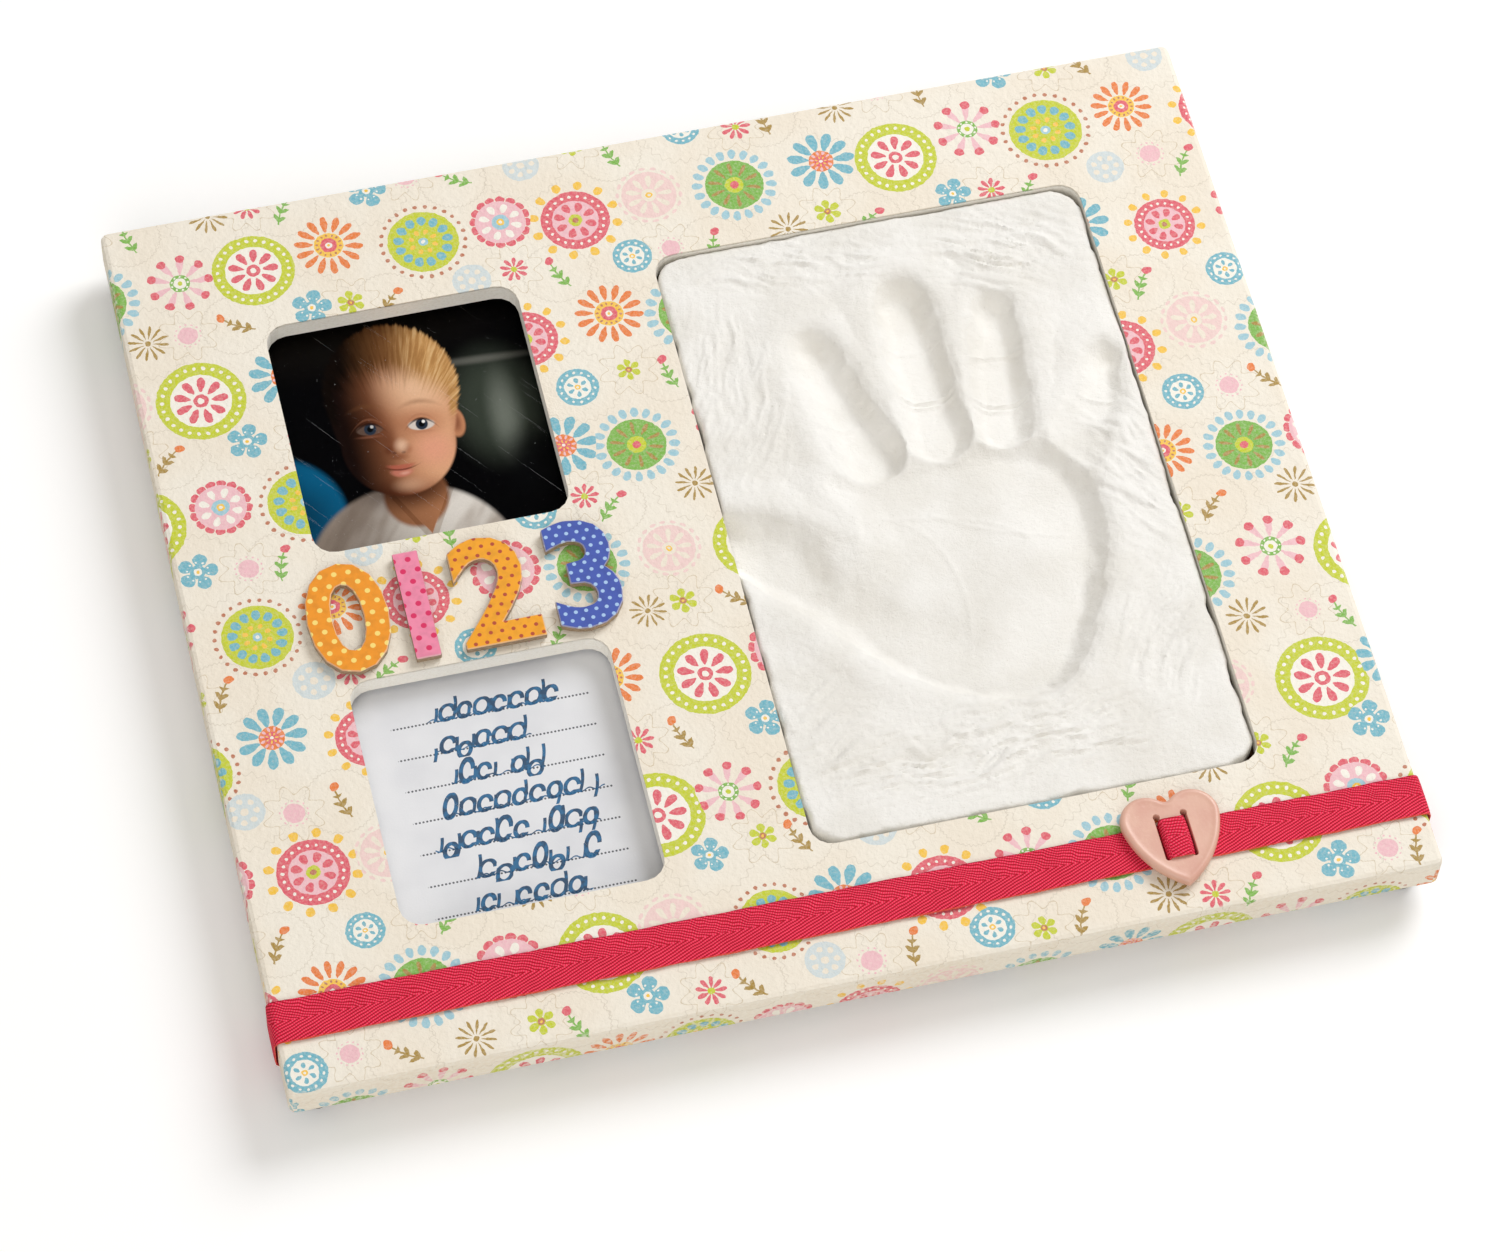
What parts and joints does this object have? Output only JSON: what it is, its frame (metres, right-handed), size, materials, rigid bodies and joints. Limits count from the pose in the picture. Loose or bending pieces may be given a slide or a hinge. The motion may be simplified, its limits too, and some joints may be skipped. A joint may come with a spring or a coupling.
{
  "type": "baby photo frame with clay hand print",
  "caption": "Paper-covered rebated frame with a photo window, a note window and a clay hand print, a ribbon with a heart slider, chipboard numerals, an easel back and a hanger.",
  "frame": {"origin": "on the surface that the frame lies on, under the middle of its outline", "axes": "+X along the long side, +Y up the picture, +Z out of the face"},
  "size_m": [0.2314, 0.201, 0.0179],
  "materials": {
    "painted_board": "fibreboard with a pale grey painted window wall",
    "printed_paper": "cream paper with a light tooth and a colourful flower print",
    "clear_sheet": "clear glossy sheet",
    "photo_paper": "glossy photographic print",
    "note_card_stock": "matte blue-white card with dotted rules",
    "white_clay": "matte air-dried white clay",
    "hardboard": "brown pressed hardboard",
    "raspberry_twill": "herringbone twill tape",
    "pink_enamel": "glossy dusty-pink enamel",
    "orange_chipboard": "printed orange with small yellow dots",
    "pink_chipboard": "printed pink with small magenta dots",
    "amber_chipboard": "printed amber with small dark red dots",
    "blue_chipboard": "printed blue with small light blue dots",
    "zinc_steel": "zinc-plated sheet and wire",
    "brass": "bright brass plate",
    "soft_rubber": "matte dark rubber"
  },
  "bodies": {
    "frame": {"front_board": "painted_board", "cover_paper": "printed_paper", "window_glazing": "clear_sheet", "photo_print": "photo_paper", "note_card": "note_card_stock", "clay_slab": "white_clay", "back_board": "hardboard", "ribbon_band": "raspberry_twill", "numeral_0": "orange_chipboard", "numeral_1": "pink_chipboard", "numeral_2": "amber_chipboard", "numeral_3": "blue_chipboard", "turn_button_1_screw": "brass", "turn_button_2_screw": "brass", "turn_button_3_screw": "brass", "turn_button_4_screw": "brass", "hinge_leaf_fixed": "zinc_steel", "hinge_pin": "zinc_steel", "hinge_screw_1": "brass", "hinge_screw_2": "brass", "hanger_plate": "zinc_steel", "hanger_rivet": "brass", "bumper_1": "soft_rubber", "bumper_2": "soft_rubber", "bumper_3": "soft_rubber", "bumper_4": "soft_rubber"},
    "heart": {"heart_slider": "pink_enamel", "ribbon_bight": "raspberry_twill"},
    "strut": {"easel_strut": "hardboard", "hinge_leaf_moving": "zinc_steel", "strut_rivet_1": "brass", "strut_rivet_2": "brass"},
    "ring": {"hanger_ring": "zinc_steel"},
    "button_1": {"turn_button_1": "zinc_steel"},
    "button_2": {"turn_button_2": "zinc_steel"},
    "button_3": {"turn_button_3": "zinc_steel"},
    "button_4": {"turn_button_4": "zinc_steel"}
  },
  "joints": [
    {"name": "heart_slide", "type": "slide", "parent": "frame", "child": "heart", "axis": [1, 0, 0], "range_m": [-0.167, 0.038]},
    {"name": "strut_swing", "type": "hinge", "parent": "frame", "child": "strut", "pos_m": [0, 0.038, 0.0033], "axis": [1, 0, 0], "range_deg": [0, 35]},
    {"name": "ring_swing", "type": "hinge", "parent": "frame", "child": "ring", "pos_m": [0, 0.078, 0.0033], "axis": [1, 0, 0], "range_deg": [-160, 0]},
    {"name": "button_1_turn", "type": "hinge", "parent": "frame", "child": "button_1", "pos_m": [-0.06, 0.095, 0.0047], "axis": [0, 0, 1], "continuous": true},
    {"name": "button_2_turn", "type": "hinge", "parent": "frame", "child": "button_2", "pos_m": [0.06, 0.095, 0.0047], "axis": [0, 0, 1], "continuous": true},
    {"name": "button_3_turn", "type": "hinge", "parent": "frame", "child": "button_3", "pos_m": [-0.06, -0.095, 0.0047], "axis": [0, 0, 1], "continuous": true},
    {"name": "button_4_turn", "type": "hinge", "parent": "frame", "child": "button_4", "pos_m": [0.06, -0.095, 0.0047], "axis": [0, 0, 1], "continuous": true}
  ]
}
